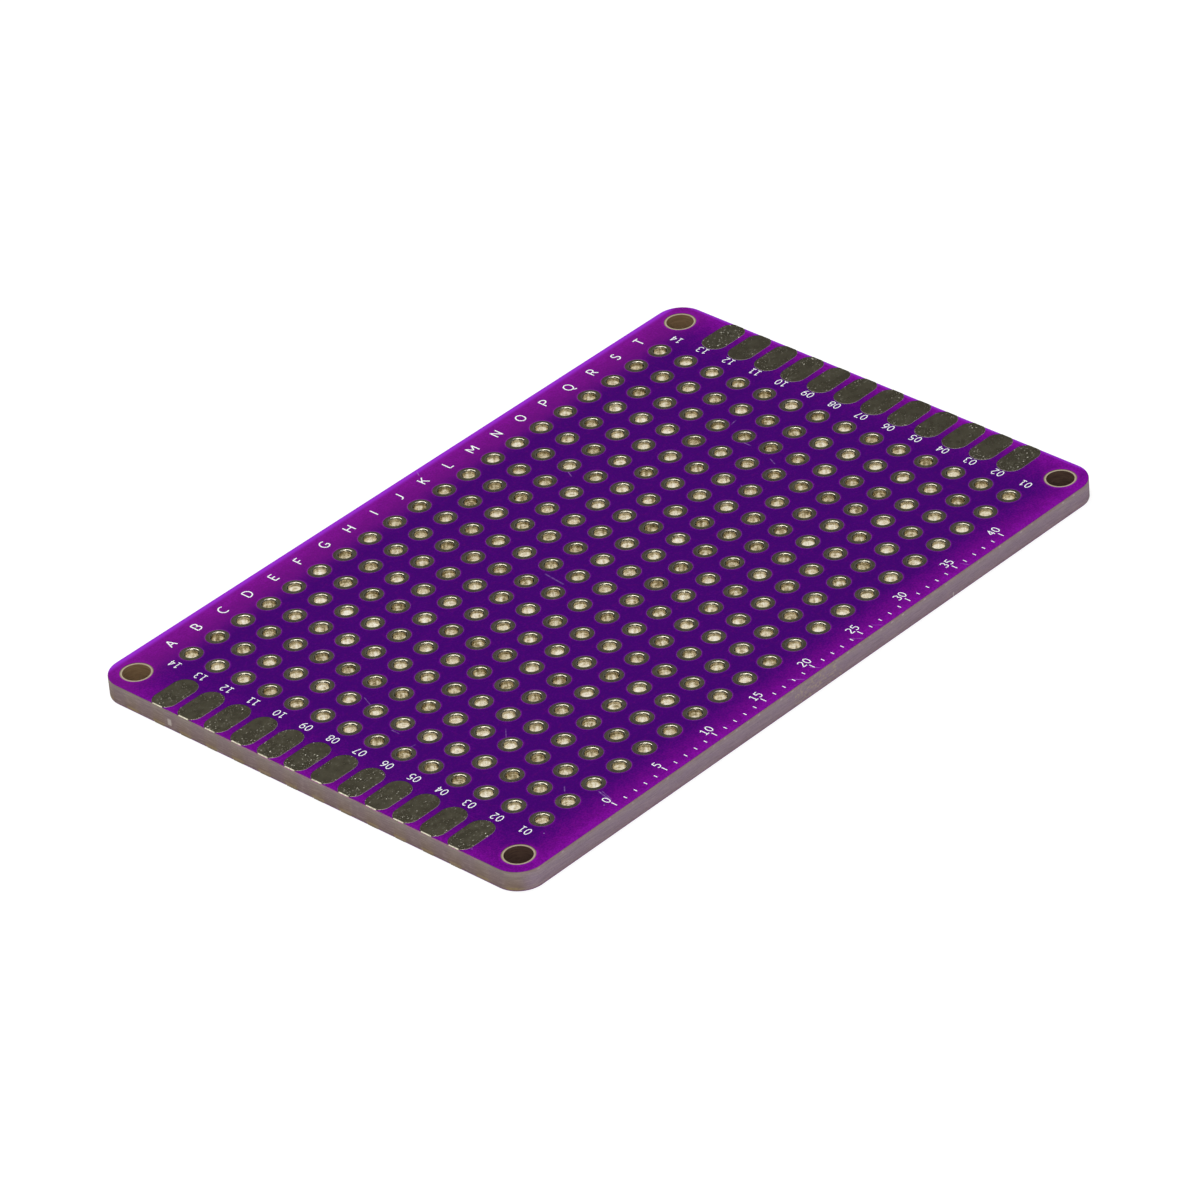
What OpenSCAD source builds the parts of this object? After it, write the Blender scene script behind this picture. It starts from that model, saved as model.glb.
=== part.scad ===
// Double-sided prototype board for hand soldering, in millimetres.
// A glass-epoxy laminate carries a film of solder mask on each face, a grid of tinned
// plated-through holes, a row of oval edge pads at each short end of both faces, and four
// plain mounting holes in the corners.
// The origin lies on the resting plane under the middle of the board, +X along its length.

/* [Board] */
// Length of the board, along X
board_l = 60; // [30:0.5:100]
// Width of the board, along Y
board_w = 40; // [20:0.5:80]
// Radius of the outline's corners
corner_r = 2; // [0.5:0.1:3]
// Thickness of the bare laminate
laminate_t = 1.5; // [0.4:0.1:3.2]

/* [Mounting holes] */
// Diameter of the four plain holes in the corners
mount_d = 2; // [1:0.1:2.4]
// Distance from the middle of a mounting hole to the two edges beside it
mount_inset = 2; // [1.7:0.1:2.2]
// Width of the bare laminate ring that the mask leaves round a mounting hole
mount_ring = 0.22; // [0.05:0.01:0.3]

/* [Plated holes] */
// Distance between neighbouring holes, both ways
pitch = 2.54; // [2.2:0.01:5.08]
// Least width of the printed band between a long edge of the board and the round pads
letter_band = 2.4; // [1.6:0.1:6]
// Least width of the printed band between the edge pads and the round pads
number_band = 1.2; // [0.4:0.1:6]
// Finished diameter of a plated hole
hole_d = 1; // [0.6:0.05:1.2]
// Outer diameter of the round pads
pad_d = 1.65; // [1.6:0.05:1.9]
// Thickness of the plating on the wall of a hole
plating_t = 0.03; // [0.02:0.005:0.05]
// Radius of the lip that rolls from a pad into its hole
lip_r = 0.08; // [0.06:0.01:0.12]
// Radius of the soft outer edge of a round pad
pad_edge_r = 0.03; // [0.01:0.005:0.04]

/* [Edge pads] */
// Length of an edge pad, from the board's edge to its inner tip
edge_pad_l = 3.6; // [2.4:0.1:8]
// Width of an edge pad
edge_pad_w = 2; // [1.2:0.05:2.1]
// Length that the board's edge cuts off the outer round end of an edge pad
edge_pad_cut = 0.1; // [0.02:0.02:0.4]
// Number of rows at each end of a short side that have no edge pad
bare_rows = 1; // [1:1:4]

/* [Films] */
// Thickness of the tinned copper on each face
metal_t = 0.05; // [0.04:0.005:0.1]
// Thickness of the mask film on each face
mask_t = 0.03; // [0.01:0.005:0.04]
// Gap of bare laminate between the edge of the copper and the mask
mask_gap = 0.05; // [0.02:0.01:0.1]
// Distance by which the mask stops short of the board's outline
mask_setback = 0.02; // [0.02:0.02:0.3]

/* [Hidden] */
$fn = 48;
hole_r = hole_d / 2;
drill_r = hole_r + plating_t;
board_t = laminate_t + 2 * metal_t;
top_z = metal_t + laminate_t;

// As many columns and rows as fit between the printed bands: 20 lettered columns of 14 numbered
// holes on a board of 60 by 40 mm
columns = floor((board_l - 2 * (edge_pad_l + number_band) - pad_d) / pitch) + 1;
rows = floor((board_w - 2 * letter_band - pad_d) / pitch) + 1;
column_list = [for (column = [0 : columns - 1]) column];
pad_rows = [for (row = [1 + bare_rows : 1 : rows - bare_rows]) row];

function column_x(column) = (column - (columns - 1) / 2) * pitch;
function row_y(row) = (row - (rows + 1) / 2) * pitch;

// A column's letters: a to z, and then aa, ab and on
function letter(n) = chr(97 + n);
function letters(n) = n < 26 ? letter(n) : str(letter(floor(n / 26) - 1), letter(n % 26));
function two_digits(n) = n < 10 ? str("0", n) : str(n);
function hole_node(column) = str("plated_holes_", letters(column));
function pad_node(side, row) = str(side < 0 ? "left" : "right", "_edge_pads_", two_digits(row));

// A rectangle with round corners, about the origin
module rounded_rectangle(l, w, r) {
    square([l - 2 * r, w], center = true);
    square([l, w - 2 * r], center = true);
    for (x = [-1, 1], y = [-1, 1])
        translate([x * (l / 2 - r), y * (w / 2 - r)]) circle(r = r);
}

module at_mounting_holes() {
    for (x = [-1, 1], y = [-1, 1])
        translate([x * (board_l / 2 - mount_inset), y * (board_w / 2 - mount_inset)]) children();
}

module at_column(column) {
    for (row = [1 : rows]) translate([column_x(column), row_y(row)]) children();
}

// The round-ended outline of an edge pad, before the board's edge cuts it, grown all round
module edge_pad_oval(side, row, grow) {
    end_r = edge_pad_w / 2;
    inner_x = board_l / 2 - edge_pad_l + end_r;
    outer_x = board_l / 2 + edge_pad_cut - end_r;
    translate([0, row_y(row)]) {
        translate([side * (inner_x + outer_x) / 2, 0])
            square([outer_x - inner_x, edge_pad_w + 2 * grow], center = true);
        for (x = [inner_x, outer_x]) translate([side * x, 0]) circle(r = end_r + grow);
    }
}

// The laminate, with a drilled hole for every plated barrel
module laminate() {
    color([0.52, 0.45, 0.4]) translate([0, 0, metal_t]) linear_extrude(laminate_t) difference() {
        rounded_rectangle(board_l, board_w, corner_r);
        at_mounting_holes() circle(d = mount_d);
        for (column = column_list) at_column(column) circle(r = drill_r);
    }
}

// One mask film, open round every pad and mounting hole
module mask_film(z) {
    color([0.3, 0.01, 0.5]) translate([0, 0, z]) linear_extrude(mask_t) difference() {
        rounded_rectangle(board_l - 2 * mask_setback, board_w - 2 * mask_setback, corner_r - mask_setback);
        at_mounting_holes() circle(r = mount_d / 2 + mount_ring);
        for (column = column_list) at_column(column) circle(r = pad_d / 2 + mask_gap);
        for (side = [-1, 1], row = pad_rows) edge_pad_oval(side, row, mask_gap);
    }
}

module top_mask() mask_film(top_z);

module bottom_mask() mask_film(metal_t - mask_t);

// Half of the section of a plated hole, on the right of its axis: the pad on each face, the
// thin barrel between them, a round lip where they meet and a soft edge outside
module plated_hole_section() {
    pad_r = pad_d / 2;
    intersection() {
        union() {
            translate([hole_r, 0]) square([plating_t, board_t]);
            for (z = [0, top_z]) translate([hole_r, z]) square([pad_r - hole_r, metal_t]);
        }
        union() {
            translate([hole_r + lip_r, 0]) square([pad_r - pad_edge_r - hole_r - lip_r, board_t]);
            translate([hole_r, lip_r]) square([pad_r - hole_r, board_t - 2 * lip_r]);
            translate([pad_r - lip_r, pad_edge_r]) square([lip_r, board_t - 2 * pad_edge_r]);
            for (z = [lip_r, board_t - lip_r]) translate([hole_r + lip_r, z]) circle(r = lip_r);
            for (z = [pad_edge_r, board_t - pad_edge_r])
                translate([pad_r - pad_edge_r, z]) circle(r = pad_edge_r);
        }
    }
}

// All the plated holes of one lettered column
module plated_holes(column) {
    color([0.66, 0.63, 0.52]) at_column(column) rotate_extrude() plated_hole_section();
}

// The edge pads of one row at one short end: one on each face
module edge_pads(side, row) {
    color([0.42, 0.4, 0.33]) for (z = [0, top_z]) translate([0, 0, z]) linear_extrude(metal_t)
        intersection() {
            edge_pad_oval(side, row, 0);
            square([board_l, board_w], center = true);
        }
}

laminate();
top_mask();
bottom_mask();
for (column = column_list)
    plated_holes(column);
for (side = [-1, 1], row = pad_rows)
    edge_pads(side, row);
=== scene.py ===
"""Visual model of a bare double-sided prototype board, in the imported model's frame, in metres."""
import sys
import logging
import math
import random
from dataclasses import dataclass, field
from enum import Enum
from typing import Callable, Union

import bmesh
import bpy
from mathutils import Matrix, Quaternion, Vector


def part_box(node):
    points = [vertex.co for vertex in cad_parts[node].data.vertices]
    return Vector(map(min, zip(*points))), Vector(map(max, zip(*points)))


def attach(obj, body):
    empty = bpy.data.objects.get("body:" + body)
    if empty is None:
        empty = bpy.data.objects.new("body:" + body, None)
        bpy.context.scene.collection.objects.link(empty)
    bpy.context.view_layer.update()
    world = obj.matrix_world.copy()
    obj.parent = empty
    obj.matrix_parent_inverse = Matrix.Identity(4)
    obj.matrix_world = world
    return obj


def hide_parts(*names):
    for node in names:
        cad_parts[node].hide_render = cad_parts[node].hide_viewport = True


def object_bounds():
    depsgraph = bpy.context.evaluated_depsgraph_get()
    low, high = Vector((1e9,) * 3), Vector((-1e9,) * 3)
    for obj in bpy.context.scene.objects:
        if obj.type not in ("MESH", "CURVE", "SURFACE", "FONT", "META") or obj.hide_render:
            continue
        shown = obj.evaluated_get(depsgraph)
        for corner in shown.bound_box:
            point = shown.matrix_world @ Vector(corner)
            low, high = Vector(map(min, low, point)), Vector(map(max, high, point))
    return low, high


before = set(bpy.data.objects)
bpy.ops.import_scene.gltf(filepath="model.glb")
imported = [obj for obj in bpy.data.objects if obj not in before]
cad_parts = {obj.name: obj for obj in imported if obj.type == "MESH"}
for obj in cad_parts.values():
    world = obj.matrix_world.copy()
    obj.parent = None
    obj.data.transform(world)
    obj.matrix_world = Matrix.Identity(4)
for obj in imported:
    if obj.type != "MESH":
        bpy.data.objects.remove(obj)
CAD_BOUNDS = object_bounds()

LOG = logging.getLogger("prototype_board")
MM = 0.001
COLUMN_LETTERS = "abcdefghijklmnopqrst"
PAD_ROWS = [f"{row:02d}" for row in range(2, 14)]

# Places in millimetres: the mounting holes, the border of the plated holes' cells, the board's
# thickness and middle plane, and the face of the upper film
MOUNT_X, MOUNT_Y = 28.0, 18.0
GRID_X, GRID_Y = 25.4, 17.78
BOARD_T = 1.6
BOARD_MIDDLE = 0.8
FILM_TOP = 1.58

# In metres: the distance under which points are merged, and the one under which they count as level
MERGE = 1e-7
NEAR = 1e-6

Value = Union[float, tuple, bpy.types.NodeSocket]
Point = tuple[float, float]


class Part(Enum):
    """What a selection in edit mode is made of."""

    VERTS = "VERT"
    EDGES = "EDGE"
    FACES = "FACE"


class Side(Enum):
    """A short end of the board, with the way that it lies along X."""

    LEFT = -1
    RIGHT = 1


class Workpiece:
    """A mesh object while it is modelled with operators."""

    def __init__(self, obj: bpy.types.Object) -> None:
        """Takes over an object.

        Args:
            obj: the mesh object.
        """
        self.obj = obj

    @staticmethod
    def clear_selection() -> None:
        """Leaves edit mode and deselects every object."""
        if bpy.context.object and bpy.context.object.mode != "OBJECT":
            bpy.ops.object.mode_set(mode="OBJECT")
        bpy.ops.object.select_all(action="DESELECT")

    @classmethod
    def added(cls) -> "Workpiece":
        """Returns the primitive that was just added, with its place in its mesh."""
        piece = cls(bpy.context.object)
        bpy.ops.object.transform_apply(location=True, rotation=True, scale=True)
        return piece

    @classmethod
    def block(cls, low: Vector, high: Vector) -> "Workpiece":
        """Adds a block.

        Args:
            low: its lowest corner.
            high: its highest corner.

        Returns:
            The block.
        """
        cls.clear_selection()
        bpy.ops.mesh.primitive_cube_add(size=1, location=(low + high) / 2, scale=high - low)
        return cls.added()

    @classmethod
    def rod(cls, radius: float, low: Vector, height: float, sides: int) -> "Workpiece":
        """Adds an upright cylinder.

        Args:
            radius: its radius.
            low: the middle of its lower end.
            height: its height.
            sides: its number of sides.

        Returns:
            The cylinder.
        """
        cls.clear_selection()
        middle = low + Vector((0, 0, height / 2))
        bpy.ops.mesh.primitive_cylinder_add(vertices=sides, radius=radius, depth=height, location=middle)
        return cls.added()

    @classmethod
    def disc(cls, radius: float, middle: Vector, sides: int, filled: bool) -> "Workpiece":
        """Adds a flat circle.

        Args:
            radius: its radius.
            middle: its middle.
            sides: its number of sides.
            filled: whether it has a face.

        Returns:
            The circle.
        """
        cls.clear_selection()
        fill = "NGON" if filled else "NOTHING"
        bpy.ops.mesh.primitive_circle_add(vertices=sides, radius=radius, location=middle, fill_type=fill)
        return cls.added()

    def take(self) -> None:
        """Makes this piece the only one selected, and the active one."""
        self.clear_selection()
        self.obj.select_set(True)
        bpy.context.view_layer.objects.active = self.obj

    def edit(self) -> None:
        """Enters edit mode on this piece."""
        self.take()
        bpy.ops.object.mode_set(mode="EDIT")

    def done(self) -> None:
        """Leaves edit mode."""
        bpy.ops.object.mode_set(mode="OBJECT")

    def pick(self, part: Part, test: Callable) -> None:
        """Selects in edit mode by place or normal.

        Args:
            part: what is selected.
            test: says of one vertex, edge or face whether it is taken.
        """
        bpy.ops.mesh.select_mode(type=part.value)
        bpy.ops.mesh.select_all(action="DESELECT")
        mesh = bmesh.from_edit_mesh(self.obj.data)
        elements = {Part.VERTS: mesh.verts, Part.EDGES: mesh.edges, Part.FACES: mesh.faces}[part]
        for element in elements:
            if test(element):
                element.select_set(True)
        mesh.select_flush_mode()
        bmesh.update_edit_mesh(self.obj.data)

    def tidy(self) -> None:
        """Merges doubled vertices and points every face outwards."""
        self.edit()
        bpy.ops.mesh.select_all(action="SELECT")
        bpy.ops.mesh.remove_doubles(threshold=MERGE)
        bpy.ops.mesh.normals_make_consistent(inside=False)
        self.done()

    def repeat(self, count: int, step: Vector) -> None:
        """Repeats the piece in a row.

        Args:
            count: how many there are in all.
            step: the way from one to the next.
        """
        self.take()
        row = self.obj.modifiers.new("row", "ARRAY")
        row.count = count
        row.use_relative_offset = False
        row.use_constant_offset = True
        row.constant_offset_displace = step
        bpy.ops.object.modifier_apply(modifier=row.name)

    def cut(self, cutter: "Workpiece") -> None:
        """Takes another piece away from this one, and deletes it.

        Args:
            cutter: the piece that is taken away.
        """
        self.take()
        cutting = self.obj.modifiers.new("cut", "BOOLEAN")
        cutting.operation = "DIFFERENCE"
        cutting.solver = "EXACT"
        cutting.object = cutter.obj
        bpy.ops.object.modifier_apply(modifier=cutting.name)
        cutter.delete()

    def delete(self) -> None:
        """Removes the piece and its mesh."""
        mesh = self.obj.data
        bpy.data.objects.remove(self.obj)
        bpy.data.meshes.remove(mesh)

    def copy(self, place: Matrix) -> "Workpiece":
        """Copies the piece with a mesh of its own.

        Args:
            place: where the copy goes.

        Returns:
            The copy.
        """
        twin = self.obj.copy()
        twin.data = self.obj.data.copy()
        twin.data.transform(place)
        bpy.context.collection.objects.link(twin)
        return Workpiece(twin)

    @classmethod
    def joined(cls, pieces: list["Workpiece"]) -> "Workpiece":
        """Joins pieces into the first of them.

        Args:
            pieces: the pieces.

        Returns:
            The joined piece.
        """
        cls.clear_selection()
        for piece in pieces:
            piece.obj.select_set(True)
        bpy.context.view_layer.objects.active = pieces[0].obj
        if len(pieces) > 1:
            bpy.ops.object.join()
        return pieces[0]

    def smooth(self, degrees: float) -> None:
        """Shades the piece smooth, except at sharp edges.

        Args:
            degrees: the angle from which an edge is sharp.
        """
        self.take()
        bpy.ops.object.shade_smooth_by_angle(angle=math.radians(degrees))

    def dress(self, material: bpy.types.Material) -> None:
        """Gives the whole piece one material.

        Args:
            material: the material.
        """
        self.obj.data.materials.clear()
        self.obj.data.materials.append(material)

    def hand_in(self, name: str, slot: str, *nodes: str) -> None:
        """Names the piece, fixes it to the board and hides the CAD nodes that it replaces.

        Args:
            name: the piece's name.
            slot: the record's material slot; not used.
            nodes: the CAD nodes that it replaces.
        """
        self.obj.name = name
        self.obj.data.name = name
        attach(self.obj, "root")
        if nodes:
            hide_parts(*nodes)
        LOG.info("%s: %d faces", name, len(self.obj.data.polygons))


def srgb(red: int, green: int, blue: int) -> tuple[float, float, float, float]:
    """Turns a screen colour into a linear one.

    Args:
        red: red, from 0 to 255.
        green: green, from 0 to 255.
        blue: blue, from 0 to 255.

    Returns:
        The linear colour, opaque.
    """

    def linear(channel: int) -> float:
        """Returns one channel in linear light."""
        share = channel / 255
        return share / 12.92 if share <= 0.04045 else ((share + 0.055) / 1.055) ** 2.4

    return linear(red), linear(green), linear(blue), 1.0


class Nodes:
    """A tree of nodes, built from numbers and sockets alike."""

    def __init__(self, tree: bpy.types.NodeTree) -> None:
        """Takes over a tree and empties it.

        Args:
            tree: the tree.
        """
        self.tree = tree
        self.tree.nodes.clear()

    def feed(self, socket: bpy.types.NodeSocket, value: Value) -> None:
        """Gives an input a number or a link.

        Args:
            socket: the input.
            value: a number, a tuple or an output.
        """
        if isinstance(value, bpy.types.NodeSocket):
            self.tree.links.new(value, socket)
        else:
            socket.default_value = value

    def add(self, kind: str, *values: Value) -> bpy.types.Node:
        """Adds a node.

        Args:
            kind: its type, without the words it begins with.
            values: its inputs in order.

        Returns:
            The node.
        """
        node = self.tree.nodes.new(f"ShaderNode{kind}")
        for socket, value in zip(node.inputs, values):
            self.feed(socket, value)
        return node

    def math(self, operation: str, *values: Value) -> bpy.types.NodeSocket:
        """Adds a Math node.

        Args:
            operation: its operation.
            values: its inputs in order.

        Returns:
            Its value.
        """
        node = self.add("Math", *values)
        node.operation = operation
        return node.outputs[0]

    def all_of(self, *values: Value) -> Value:
        """Returns the product of several factors."""
        product = values[0]
        for value in values[1:]:
            product = self.math("MULTIPLY", product, value)
        return product

    def most_of(self, *values: Value) -> Value:
        """Returns the largest of several factors."""
        largest = values[0]
        for value in values[1:]:
            largest = self.math("MAXIMUM", largest, value)
        return largest

    def rays(self, *names: str) -> Value:
        """Returns 1 for the named kinds of rays and 0 for all others."""
        path = self.add("LightPath")
        return self.most_of(*(path.outputs[f"Is {name} Ray"] for name in names))


class Graph(Nodes):
    """The nodes of one of the board's materials, with places in millimetres."""

    def __init__(self, name: str) -> None:
        """Starts a material with a Principled shader.

        Args:
            name: the material's name.
        """
        self.material = bpy.data.materials.new(name)
        self.material.use_nodes = True
        super().__init__(self.material.node_tree)
        self.shader = self.add("BsdfPrincipled")
        self.add("OutputMaterial", self.shader.outputs["BSDF"])
        coordinates = self.add("TexCoord")
        self.place = self.vector("MULTIPLY", coordinates.outputs["Object"], (1 / MM, 1 / MM, 1 / MM))
        self.normal = coordinates.outputs["Normal"]
        self.x, self.y, self.z = self.split(self.place)
        self.out_x, self.out_y = self.math("ABSOLUTE", self.x), self.math("ABSOLUTE", self.y)

    def split(self, vector: Value) -> tuple:
        """Returns the three components of a vector."""
        return tuple(self.add("SeparateXYZ", vector).outputs)

    def vector(self, operation: str, a: Value, b: Value) -> bpy.types.NodeSocket:
        """Adds a Vector Math node.

        Args:
            operation: its operation.
            a: the first vector.
            b: the second vector.

        Returns:
            Its vector.
        """
        node = self.add("VectorMath", a, b)
        node.operation = operation
        return node.outputs["Vector"]

    def distance(self, a: Value, b: Value) -> bpy.types.NodeSocket:
        """Returns the distance between two points."""
        node = self.add("VectorMath", a, b)
        node.operation = "DISTANCE"
        return node.outputs["Value"]

    def length(self, x: Value, y: Value) -> Value:
        """Returns the length of a way with two components."""
        return self.math("SQRT", self.math("ADD", self.all_of(x, x), self.all_of(y, y)))

    def span(self, value: Value, start: float, end: float, low: float = 0.0, high: float = 1.0) -> Value:
        """Maps a range smoothly and stays at its ends beyond it.

        Args:
            value: what is mapped.
            start: where the result is low.
            end: where the result is high.
            low: the result at the start.
            high: the result at the end.

        Returns:
            The mapped value.
        """
        node = self.add("MapRange", value, start, end, low, high)
        node.interpolation_type = "SMOOTHSTEP"
        return node.outputs[0]

    def bump_at(self, value: Value, middle: float, half: float, soft: float) -> Value:
        """Returns 1 within a band of values and 0 outside it.

        Args:
            value: what is tested.
            middle: the middle of the band.
            half: half the band's width.
            soft: the width of its soft border.

        Returns:
            The factor.
        """
        away = self.math("ABSOLUTE", self.math("SUBTRACT", value, middle))
        return self.span(away, half + soft, half)

    def noise(
        self, scale: float, detail: float = 2.0, stretch: tuple = (1, 1, 1), shift: float = 0.0
    ) -> Value:
        """Adds a noise in millimetres.

        Args:
            scale: how many cells there are to a millimetre.
            detail: its number of octaves.
            stretch: how much finer it is each way.
            shift: an offset that makes it differ from another noise.

        Returns:
            A value about 0.5.
        """
        where = self.vector("MULTIPLY", self.place, stretch)
        node = self.add("TexNoise", self.vector("ADD", where, (shift, shift * 0.7, shift * 1.3)))
        node.inputs["Scale"].default_value = scale
        node.inputs["Detail"].default_value = detail
        return node.outputs[0]

    def flecks(self, scale: float, size: float, share: float, shift: float = 0.0) -> Value:
        """Adds scattered specks.

        Args:
            scale: how many cells there are to a millimetre.
            size: a speck's radius, as a share of a cell.
            share: the share of the cells that hold one.
            shift: an offset that makes them differ from other specks.

        Returns:
            1 on a speck and 0 off it.
        """
        node = self.add("TexVoronoi", self.vector("ADD", self.place, (shift, shift * 1.7, shift * 0.6)))
        node.inputs["Scale"].default_value = scale
        chance = self.split(node.outputs["Color"])[0]
        near = self.span(node.outputs["Distance"], size, size * 0.5)
        return self.math("MULTIPLY", near, self.math("LESS_THAN", chance, share))

    def per_hole(self, pitch: float) -> tuple[Value, Value]:
        """Finds the nearest plated hole.

        Args:
            pitch: the distance between holes, in millimetres.

        Returns:
            The distance from its axis in millimetres, and a random number of its own.
        """
        def along(value: Value) -> Value:
            """Returns how far a coordinate is from the nearest axis."""
            return self.math("SUBTRACT", self.math("FLOORED_MODULO", value, pitch), pitch / 2)

        def cell(value: Value) -> Value:
            """Returns the number of the hole's row or column."""
            return self.math("FLOOR", self.math("DIVIDE", value, pitch))

        cells = self.add("CombineXYZ", cell(self.x), cell(self.y))
        dice = self.add("TexWhiteNoise", cells.outputs[0])
        dice.noise_dimensions = "2D"
        return self.length(along(self.x), along(self.y)), dice.outputs["Value"]

    def from_mounts(self) -> Value:
        """Returns the distance in millimetres from the axis of the nearest mounting hole."""
        off_x = self.math("SUBTRACT", self.out_x, MOUNT_X)
        off_y = self.math("SUBTRACT", self.out_y, MOUNT_Y)
        return self.length(off_x, off_y)

    def is_upper(self) -> Value:
        """Returns 1 on the upper half of the board and 0 on the lower one."""
        return self.math("GREATER_THAN", self.z, BOARD_MIDDLE)

    def mix(self, amount: Value, low: Value, high: Value) -> bpy.types.NodeSocket:
        """Blends two colours.

        Args:
            amount: how much of the second is taken.
            low: the first colour.
            high: the second colour.

        Returns:
            The blend.
        """
        node = self.add("Mix", amount)
        node.data_type = "RGBA"
        self.feed(node.inputs[6], low)
        self.feed(node.inputs[7], high)
        return node.outputs[2]

    def ramp(self, value: Value, *stops: tuple[float, tuple]) -> bpy.types.NodeSocket:
        """Turns a value into a colour.

        Args:
            value: the value, from 0 to 1.
            stops: positions and colours, in order.

        Returns:
            The colour.
        """
        node = self.add("ValToRGB", value)
        points = node.color_ramp.elements
        while len(points) < len(stops):
            points.new(0.5)
        for point, (position, colour) in zip(points, stops):
            point.position = position
            point.color = colour
        return node.outputs[0]

    def relief(self, height: Value, depth: float, strength: float) -> None:
        """Gives the surface a bump.

        Args:
            height: the height, from 0 to 1.
            depth: the depth of the relief, in metres.
            strength: how strong it is.
        """
        node = self.add("Bump")
        node.inputs["Strength"].default_value = strength
        node.inputs["Distance"].default_value = depth
        self.feed(node.inputs["Height"], height)
        self.tree.links.new(node.outputs[0], self.shader.inputs["Normal"])

    def finish(self, colour: Value, roughness: Value, metallic: Value, specular: float) -> bpy.types.Material:
        """Sets the shader.

        Args:
            colour: the base colour.
            roughness: the roughness.
            metallic: the metallic share.
            specular: the specular level.

        Returns:
            The material.
        """
        self.feed(self.shader.inputs["Base Color"], colour)
        self.feed(self.shader.inputs["Roughness"], roughness)
        self.feed(self.shader.inputs["Metallic"], metallic)
        self.shader.inputs["Specular IOR Level"].default_value = specular
        return self.material


@dataclass(frozen=True)
class Layout:
    """Where things are on the board, in metres, as the CAD nodes have them."""

    low: Vector
    high: Vector
    pitch: float
    columns: tuple[float, ...]
    rows: tuple[float, ...]
    pad_r: float

    @classmethod
    def read(cls) -> "Layout":
        """Reads the places from the CAD nodes' boxes."""
        low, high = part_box("laminate")
        boxes = [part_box(f"plated_holes_{letter}") for letter in COLUMN_LETTERS]
        columns = tuple((a.x + b.x) / 2 for a, b in boxes)
        pitch = (columns[-1] - columns[0]) / (len(columns) - 1)
        pad_r = (boxes[0][1].x - boxes[0][0].x) / 2
        reach = boxes[0][1].y - boxes[0][0].y - 2 * pad_r
        steps = round(reach / pitch)
        rows = tuple((row - steps / 2) * pitch for row in range(steps + 1))
        return cls(low, high, pitch, columns, rows, pad_r)

    def row(self, label: str) -> float:
        """Returns the place along Y of a numbered row."""
        return self.rows[int(label) - 1]


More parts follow.
